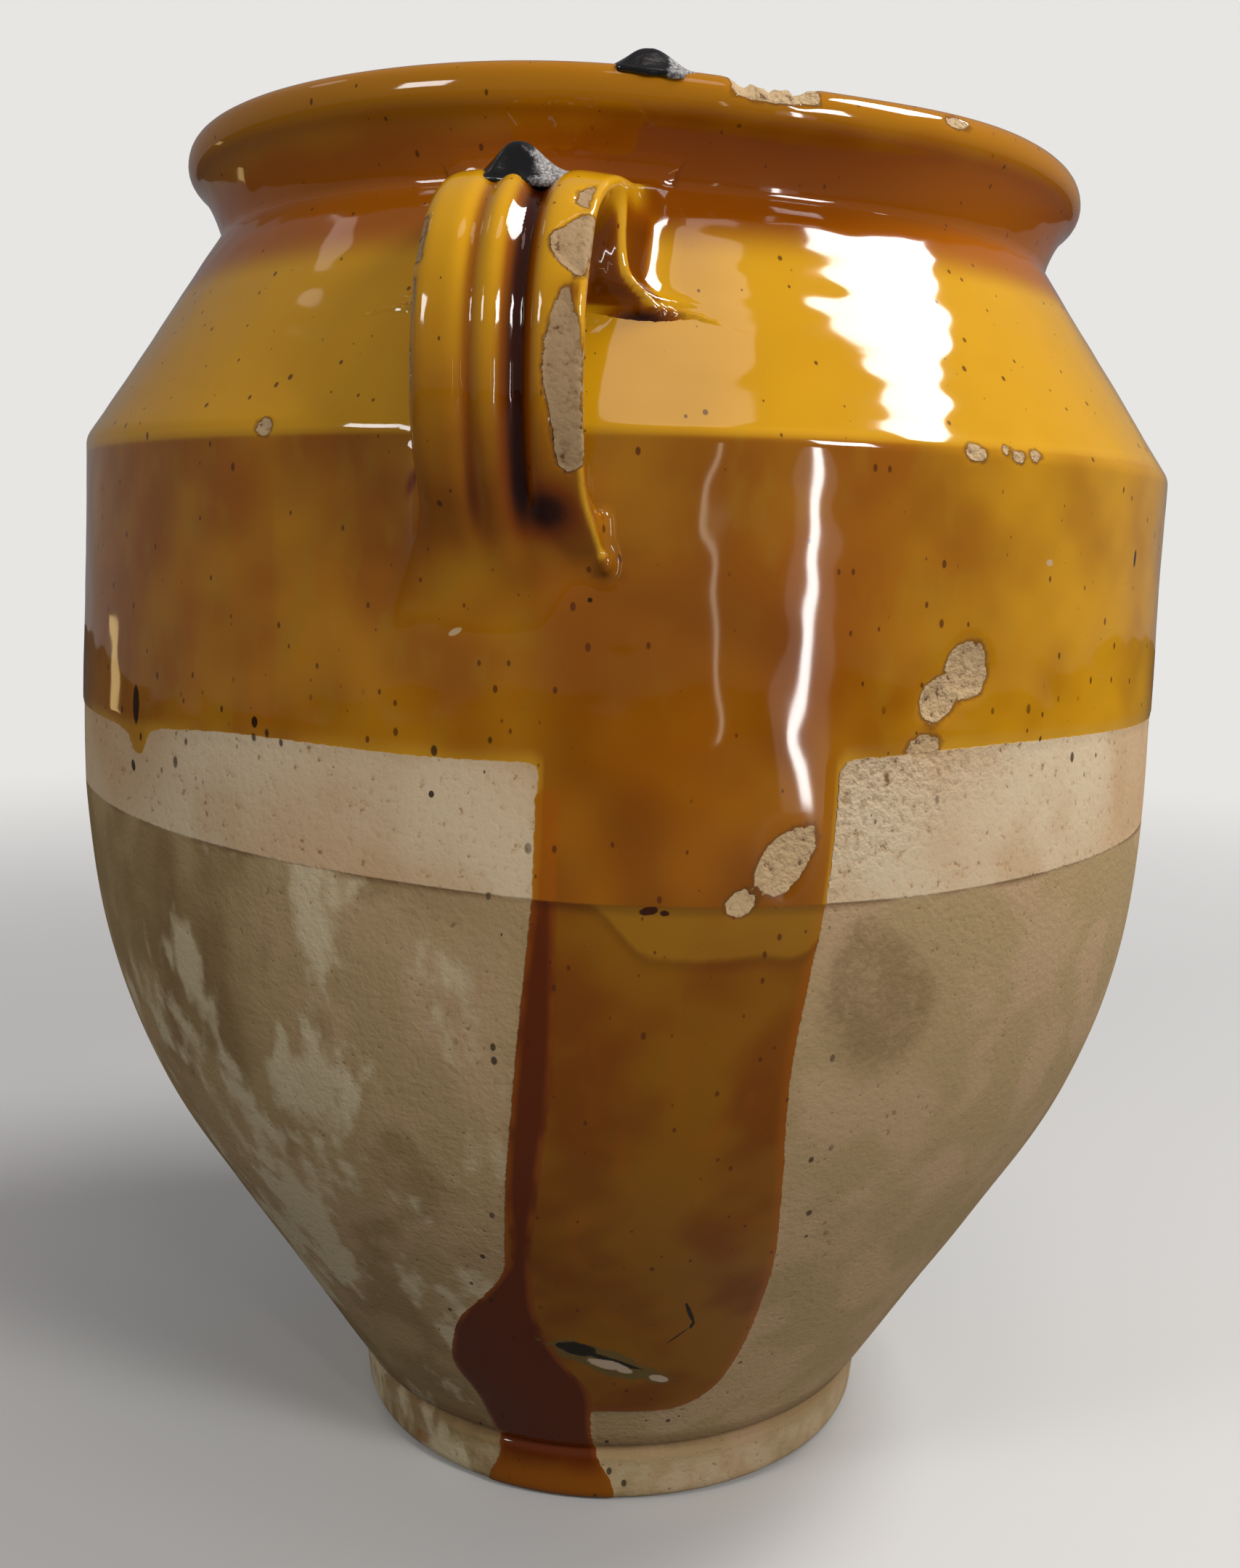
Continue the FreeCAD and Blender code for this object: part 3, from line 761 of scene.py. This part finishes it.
def strap_gaps(side, height, run, proud, body):
    """How far outside the strap's face, its edges and its underside a place lies."""
    plain = ramp(run, 0.008, 0.018)
    ending = ramp(run, lower_end - lower_fade, lower_end)
    near_skin = np.exp(-(np.clip(body, 0, None) / wing_height) ** 2)
    near_skin = near_skin * (1 - ramp(run, 0.035, 0.05))
    gusset = -soft_least(-(gusset_depth - gusset_slope * (run - arm_start)), 0, 0.005)
    reach = right_reach(run)
    across = side / np.where(side > 0, reach, strap_left)
    edgeward = np.clip(np.abs(across), 0, 1) ** 2
    keel = gusset * (1 - edgeward * (1 - near_skin))
    rise = wing_rise * ramp(np.abs(side), 0.0170, 0.0260)
    depth = (strap_thickness / 2 - proud) / (strap_thickness + gusset - rise)
    depth = np.clip(depth, 0, 1.1)
    wing = wing_width * near_skin * depth ** wing_power
    wing_slope = wing_power * wing_width * near_skin * depth ** (wing_power - 1)
    wing_slope = wing_slope / (strap_thickness + gusset)
    grooves = (left_groove_depth * np.exp(-((side - left_groove) / left_groove_width) ** 2)
               + right_groove_depth * np.exp(-((side - right_groove) / right_groove_width) ** 2))
    chipped = ramp(handle_chips(side, height, run, proud), -0.0003, 0.0003)
    top = strap_thickness / 2 - plain * ((1 - ending) * grooves + strap_crown * edgeward)
    top = top - chip_depth * chipped
    thinned = edge_thinning + arm_thinning * (1 - ramp(run, 0.030, 0.045))
    thinning = thinned * ramp(side, 0.002, strap_right) * (1 - near_skin) * (1 - ending)
    low = rise - strap_thickness / 2 - keel + plain * strap_hollow * (1 - edgeward) + thinning
    edges = np.maximum(side - reach, -side - strap_left) - wing
    return proud - top, edges / np.sqrt(1 + wing_slope ** 2), low - proud, depth


def handle_field(side, out, height, run, proud):
    """Distance outside the handle and the skin of the wall that it grows from."""
    body = wall_gap(side, out, height)
    above, beside, below, depth = strap_gaps(side, height, run, proud, body)
    corner = np.where(side > 0, 0.0010, 0.0032)
    strap = -soft_least(-above, -beside, corner)
    strap = -soft_least(-strap, -below, 0.0012)
    drop = np.sqrt((side - drop_place[0]) ** 2 + (out - drop_place[1]) ** 2
                   + ((height - drop_place[2]) / 1.5) ** 2) - drop_radius
    strap = soft_least(strap, drop, 0.0015)
    tight_side = ramp(side, 0.004, 0.010) * ramp(run, 0.030, 0.040)
    tight_under = ramp(depth, 0.80, 0.95) * (1 - ramp(run, 0.035, 0.045))
    blend = fillet + (tight_fillet - fillet) * np.maximum(tight_side, tight_under)
    clay_skin = soft_least(body, strap, blend)
    dive = seam_dive * ramp(strap, 0.85 * blend, 1.15 * blend)
    shell = np.maximum(clay_skin + dive, strap - 1.15 * fillet)
    return np.maximum(shell, -(body + skin_depth))


def netted(field, axes):
    """The closed surface where a field on a grid is zero: one point for each crossed cell."""
    inside_field = field < 0
    cells = tuple(n - 1 for n in field.shape)
    total, count = np.zeros(cells + (3,)), np.zeros(cells)
    corners = [(i, j, k) for i in (0, 1) for j in (0, 1) for k in (0, 1)]

    def at_corner(values, corner):
        return values[tuple(slice(c, c + n) for c, n in zip(corner, cells))]

    for start in corners:
        for axis in range(3):
            if start[axis]:
                continue
            end = tuple(c + (k == axis) for k, c in enumerate(start))
            a, b = at_corner(field, start), at_corner(field, end)
            crossed = (a < 0) != (b < 0)
            share = np.where(crossed, a / np.where(crossed, a - b, 1), 0)
            for k in range(3):
                total[..., k] += crossed * (start[k] + (share if k == axis else 0))
            count += crossed
    used = count > 0
    place = np.argwhere(used) + total[used] / count[used][:, None]
    points = np.stack([axes[k][0] + place[:, k] * (axes[k][1] - axes[k][0])
                       for k in range(3)], axis=1)
    number = np.full(cells, -1)
    number[used] = np.arange(used.sum())
    faces = []
    for axis in range(3):
        b, c = (axis + 1) % 3, (axis + 2) % 3
        low = [slice(1, -1)] * 3
        low[axis] = slice(0, -1)
        high = list(low)
        high[axis] = slice(1, None)
        a_in, b_in = inside_field[tuple(low)], inside_field[tuple(high)]
        edges = np.argwhere(a_in != b_in)
        out_ward = a_in[tuple(edges.T)]
        edges[:, b] += 1
        edges[:, c] += 1
        around = []
        for step_b, step_c in ((-1, -1), (0, -1), (0, 0), (-1, 0)):
            at = edges.copy()
            at[:, b] += step_b
            at[:, c] += step_c
            around.append(number[tuple(at.T)])
        quads = np.stack(around, axis=1)
        quads[~out_ward] = quads[~out_ward][:, ::-1]
        faces.append(quads)
    return points, np.concatenate(faces)


axes = [np.arange(low, high, cell) for low, high in zip(net_low, net_high)]
run_map, proud_map = bow_place(axes[1][:, None], axes[2][None, :])
field = handle_field(axes[0][:, None, None], axes[1][None, :, None], axes[2][None, None, :],
                     run_map[None], proud_map[None])
handle_points, handle_faces = netted(field, axes)
for _ in range(2):
    here = handle_field(*handle_points.T, *bow_place(*handle_points[:, 1:].T))
    nudge = 0.00005
    slopes = []
    for k in range(3):
        moved = handle_points.copy()
        moved[:, k] += nudge
        slopes.append((handle_field(*moved.T, *bow_place(*moved[:, 1:].T)) - here) / nudge)
    slopes = np.stack(slopes, axis=1)
    steepness = np.clip((slopes ** 2).sum(axis=1), 0.3, None)
    handle_points -= np.clip(here / steepness, -cell / 2, cell / 2)[:, None] * slopes

# The glaze pools dark in the grooves and in the crease beneath the arm, and runs thin and yellow
# over edges.
# The arm's underside is painted dark, partly as thick glaze and partly as painted shade, its right
# side under the collar is painted shade, and a lighter line on the left rib is a painted highlight.
side, out, height = handle_points.T
run, proud = bow_place(out, height)
azimuth = np.degrees(np.arctan2(side, out))
handle_marks = marks_at(azimuth, height, np.hypot(side, out))
handle_weights = weights_at(azimuth, height, np.hypot(side, out))
body = wall_gap(side, out, height)
above, beside, below, depth = strap_gaps(side, height, run, proud, body)
on_strap = ramp(body, 0.0015, 0.0060)
outer_face = ramp(proud, -0.0006, 0.0006)
along_grooves = ramp(run, 0.018, 0.030) * (1 - ramp(run, 0.078, 0.090)) * outer_face
pool_and_shade = along_grooves * np.exp(-((side - right_groove) / 0.0021) ** 2)
in_left_groove = along_grooves * np.exp(-((side - left_groove) / 0.0012) ** 2)
pool_and_shade = np.maximum(pool_and_shade, 0.36 * in_left_groove)
pool_and_shade = np.maximum(pool_and_shade, outer_face * np.exp(
    -((side - 0.0064) / 0.0050) ** 2 - ((height - 0.2076) / 0.0038) ** 2))
# Painted shade, partly thick glaze: the arm's underside is darkened, more toward its lower part.
under_shade = np.exp(-(below / 0.0012) ** 2) * ramp(body, 0.0002, 0.0015)
pool_and_shade = np.maximum(pool_and_shade, under_shade * (0.30 + 0.30 * ramp(height, 0.246, 0.238)))
# Painted shade: the arm's right side under the collar is darkened.
arm_side_shade = ramp(side, 0.0060, 0.0100) * ramp(run, 0.056, 0.040) * ramp(body, 0.0006, 0.0025)
pool_and_shade = np.maximum(pool_and_shade, arm_side_shade * ramp(proud, 0.0034, -0.0050) * 0.62)
pool_and_shade = np.maximum(pool_and_shade, np.exp(
    -((side - 0.0170) / 0.0060) ** 2 - ((height - 0.2382) / 0.0022) ** 2))
low_edge = np.exp(-(np.maximum(np.abs(beside), np.abs(below)) / 0.0009) ** 2) * (side > 0)
high_edge = np.exp(-(np.maximum(np.abs(beside), np.abs(above)) / 0.0008) ** 2) * (side > 0)
thin_glaze_and_highlight = np.maximum(low_edge, high_edge) * ramp(body, 0.0006, 0.0020)
pool_and_shade = pool_and_shade * (1 - np.clip(thin_glaze_and_highlight * 1.5, 0, 1))
# Painted highlight: a lighter line along the crest of the left rib.
left_rib_highlight = np.exp(-((side + 0.0098) / 0.0022) ** 2) * on_strap * outer_face
thin_glaze_and_highlight = np.maximum(thin_glaze_and_highlight, 0.25 * left_rib_highlight)
handle_weights["pool_and_shade"], handle_weights["thin_glaze_and_highlight"], handle_weights["strap"] = pool_and_shade, thin_glaze_and_highlight, on_strap
for name, facing in (("front_handle", -1), ("back_handle", 1)):
    points = handle_points * (-facing, facing, 1)
    handle = closed_mesh(name, settled(points), handle_faces.tolist())
    handle_marks["chip"] = (handle_chips(side, height, run, proud) if facing < 0
                            else np.full(len(points), far_away))
    keep_marks(handle, handle_marks, 1000)
    keep_marks(handle, handle_weights)
    handle.data.materials.append(clay_and_glaze)
    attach(handle, "root")

# Two drips of black glaze from another pot, which fell in the kiln on the lip and on the strap.
# Each is a small pointed lump with a chalky right face, stuck to the amber glaze.
lump_turns, lump_steps, lump_seat = 80, 30, 0.0010
lump_black, lump_grey, lump_chalk = colour(16, 15, 17), colour(84, 80, 82), colour(182, 178, 172)


def lump_finish():
    """Glossy black glaze with a chalky face."""
    made, shader, start = finish_tree("black kiln glaze")
    place = start.node("ShaderNodeTexCoord", {}, {}, output=3)
    facet = start.node("ShaderNodeAttribute", {"attribute_name": "facet"}, {}, output=2)
    fine, grain = place.cloud(0.0022, 3), place.cloud(0.0005, 3, 0.7)
    chalk = (facet + (fine - 0.5) * 1.4 + (grain - 0.5) * 0.4).ramp(0.45, 0.95)
    pale = start.node("ShaderNodeMix", {"data_type": "RGBA"},
                      {0: grain.ramp(0.35, 0.65), 6: lump_grey, 7: lump_chalk}, output=2)
    tone = start.node("ShaderNodeMix", {"data_type": "RGBA"},
                      {0: chalk * 0.9, 6: lump_black, 7: pale}, output=2)
    relief = (fine - 0.5) * 0.15 + grain * chalk * 0.12
    bump = start.node("ShaderNodeBump", {}, {"Strength": 1.0, "Distance": 0.001, "Height": relief})
    links = made.node_tree.links
    links.new(tone.socket, shader.inputs["Base Color"])
    links.new((0.22 + chalk * 0.45).socket, shader.inputs["Roughness"])
    links.new(bump.socket, shader.inputs["Normal"])
    return made


black_glaze = lump_finish()


def glaze_lump(name, seat, across, up, half_width, half_depth, tall, lean, bend):
    """A pointed lump on its seat, whose skirt follows the bend of what it fell on."""
    deep = np.cross(across, up)
    angle = np.linspace(0, 2 * np.pi, lump_turns, endpoint=False)[None, :]
    share = (np.arange(1, lump_steps + 1) / lump_steps)[:, None]
    frill = 1 + share ** 3 * (0.07 * np.cos(5 * angle + 1) + 0.05 * np.cos(9 * angle + 3))
    wide = half_width * share * frill * np.cos(angle) + lean * (1 - share) ** 0.7
    back = half_depth * share * frill * np.sin(angle)
    steep = 1.25 + 0.35 * np.cos(angle) + 0.10 * np.cos(3 * angle + 2)
    rise = tall * (1 - share ** 2) ** (steep * 1.7)
    rise = rise * (1 + 0.07 * np.cos(4 * angle + 6 * share) * share)
    sag = wide ** 2 / (2 * bend[0]) + back ** 2 / (2 * bend[1])
    rings = [np.stack([wide, back, rise - sag], axis=-1)]
    rings.append(rings[0][-1:] - (0, 0, lump_seat))
    local = np.concatenate(rings).reshape(-1, 3)
    tip = (lean, 0, tall)
    local = np.concatenate([[tip], local, [local[-lump_turns:].mean(axis=0)]])
    points = np.array(seat) + local @ np.array([across, deep, up])
    ring = 1 + np.arange((lump_steps + 1) * lump_turns).reshape(-1, lump_turns)
    after = np.roll(ring, -1, axis=1)
    faces = [(0, a, b) for a, b in zip(ring[0].tolist(), after[0].tolist())]
    sides = np.stack([ring[:-1], ring[1:], after[1:], after[:-1]], axis=-1)
    faces += sides.reshape(-1, 4).tolist()
    end = len(points) - 1
    faces += [(end, b, a) for a, b in zip(ring[-1].tolist(), after[-1].tolist())]
    if np.dot(np.cross(across, deep), up) < 0:
        faces = [face[::-1] for face in faces]
    lump = closed_mesh(name, settled(points), faces)
    keep_marks(lump, {"facet": (local[:, 0] - lean) / half_width * 1.6})
    lump.data.materials.append(black_glaze)
    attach(lump, "root")


lip_lump_azimuth, lip_lump_radius, strap_lump_out = 10.0, 0.0925, 0.1110
turn = math.radians(lip_lump_azimuth)
lip_across = (math.cos(turn), math.sin(turn), 0)
lip_seat = round_place(lip_lump_azimuth, lip_height - 0.0002, lip_lump_radius)
glaze_lump("lip_lump", lip_seat, lip_across, (0, 0, 1),
           0.0072, 0.0040, 0.0030, -0.0004, (0.2, 0.0060))
at = int(np.argmin(np.abs(bow[:, 0] - strap_lump_out) + (bow[:, 1] < 0.245)))
strap_up = np.array((0, bow_way[at, 1], bow_way[at, 0]))
strap_seat = np.array((-0.0003, -bow[at, 0], bow[at, 1]))
strap_seat = strap_seat + strap_up * (strap_thickness / 2 - 0.0005)
glaze_lump("strap_lump", strap_seat, (1, 0, 0), strap_up,
           0.0072, 0.0054, 0.0043, -0.0010, (0.2, 0.022))

# The floor is a pale seamless sheet that fades into the pale background. Only the camera sees
# the fade and the pale sheet: the lamps fall on a darker one, so that it lends the glaze no haze.
background_pale = (0.80, 0.79, 0.77, 1)
floor_pale, floor_deep = (0.66, 0.65, 0.63, 1), (0.12, 0.12, 0.12, 1)
fade_start, fade_end = 0.25, 1.1
floor_finish, floor_shader, start = finish_tree("pale floor")
floor_shader.inputs["Roughness"].default_value = 0.9
place = start.node("ShaderNodeTexCoord", {}, {}, output=3)
reach = start.node("ShaderNodeVectorMath", {"operation": "LENGTH"}, {0: place}, output=1)
seen = start.node("ShaderNodeLightPath", {}, {})
seen_tone = start.node("ShaderNodeMix", {"data_type": "RGBA"},
                       {0: seen, 6: floor_deep, 7: floor_pale}, output=2)
fade = start.node("ShaderNodeEmission", {}, {"Color": background_pale})
sheet = start.node("ShaderNodeMixShader", {},
                   {0: seen * reach.ramp(fade_start, fade_end),
                    1: Tone(start.tree, floor_shader.outputs[0]), 2: fade})
links = floor_finish.node_tree.links
links.new(seen_tone.socket, floor_shader.inputs["Base Color"])
links.new(sheet.socket, floor_finish.node_tree.nodes["Material Output"].inputs[0])
floor = closed_mesh("floor", np.array([(-3, -3, 0), (3, -3, 0), (3, 3, 0), (-3, 3, 0)], float),
                    [(0, 1, 2, 3)])
floor.data.materials.append(floor_finish)

# The light is a window high on the right and a little behind, a soft ceiling, two soft fills,
# and narrow gaps of light in a faint halo, which draw the long streaks down the belly. Two weak
# lamps on the left leave a gleam on the shoulder and on the far edge of the belly.
looked_at = Vector((0, 0, 0.18))
room_grey = (0.20, 0.20, 0.21, 1)


def softbox(name, azimuth, elevation, distance, width, height, power,
            tint=(1, 1, 1), shape="RECTANGLE"):
    """An area light that looks at the pot from this direction."""
    lamp = bpy.data.lights.new(name, "AREA")
    lamp.shape = shape
    lamp.size, lamp.size_y, lamp.energy, lamp.color = width, height, power, tint
    made = bpy.data.objects.new(name, lamp)
    a, e = math.radians(azimuth), math.radians(elevation)
    back = Vector((math.sin(a) * math.cos(e), -math.cos(a) * math.cos(e), math.sin(e)))
    made.location = looked_at + back * distance
    made.rotation_mode = "QUATERNION"
    made.rotation_quaternion = back.to_track_quat("Z", "Y")
    bpy.context.scene.collection.objects.link(made)


softbox("window", 103, 56, 1.2, 0.42, 0.36, 10)
softbox("ceiling", 32, 69.5, 1.3, 0.52, 0.34, 1.1, (1, 0.84, 0.80), "ELLIPSE")
softbox("right_fill", 52, 26, 1.5, 0.30, 0.30, 9)
softbox("left_fill", -42, 28, 1.5, 0.30, 0.30, 5)
softbox("gap", 43, 1, 1.2, 0.045, 0.36, 1.6)
softbox("gap_halo", 43, -3, 1.25, 0.22, 0.56, 0.36, (1, 0.84, 0.80), "ELLIPSE")
softbox("thin_gap", 26, 2, 1.2, 0.018, 0.34, 0.12, (1, 0.88, 0.66))
softbox("left_gleam", -98, 50, 1.2, 0.22, 0.14, 0.10, (1, 0.84, 0.78), "ELLIPSE")
softbox("left_gap", -111, -3.4, 1.2, 0.07, 0.12, 0.05, (1, 0.74, 0.30))
world = bpy.data.worlds.new("world")
bpy.context.scene.world = world
world.use_nodes = True
start = Tone(world.node_tree)
seen = start.node("ShaderNodeLightPath", {}, {})
background = world.node_tree.nodes["Background"]
room = start.node("ShaderNodeMix", {"data_type": "RGBA"},
                  {0: seen, 6: room_grey, 7: background_pale}, output=2)
world.node_tree.links.new(room.socket, background.inputs[0])
bpy.context.scene.view_settings.view_transform = "Standard"
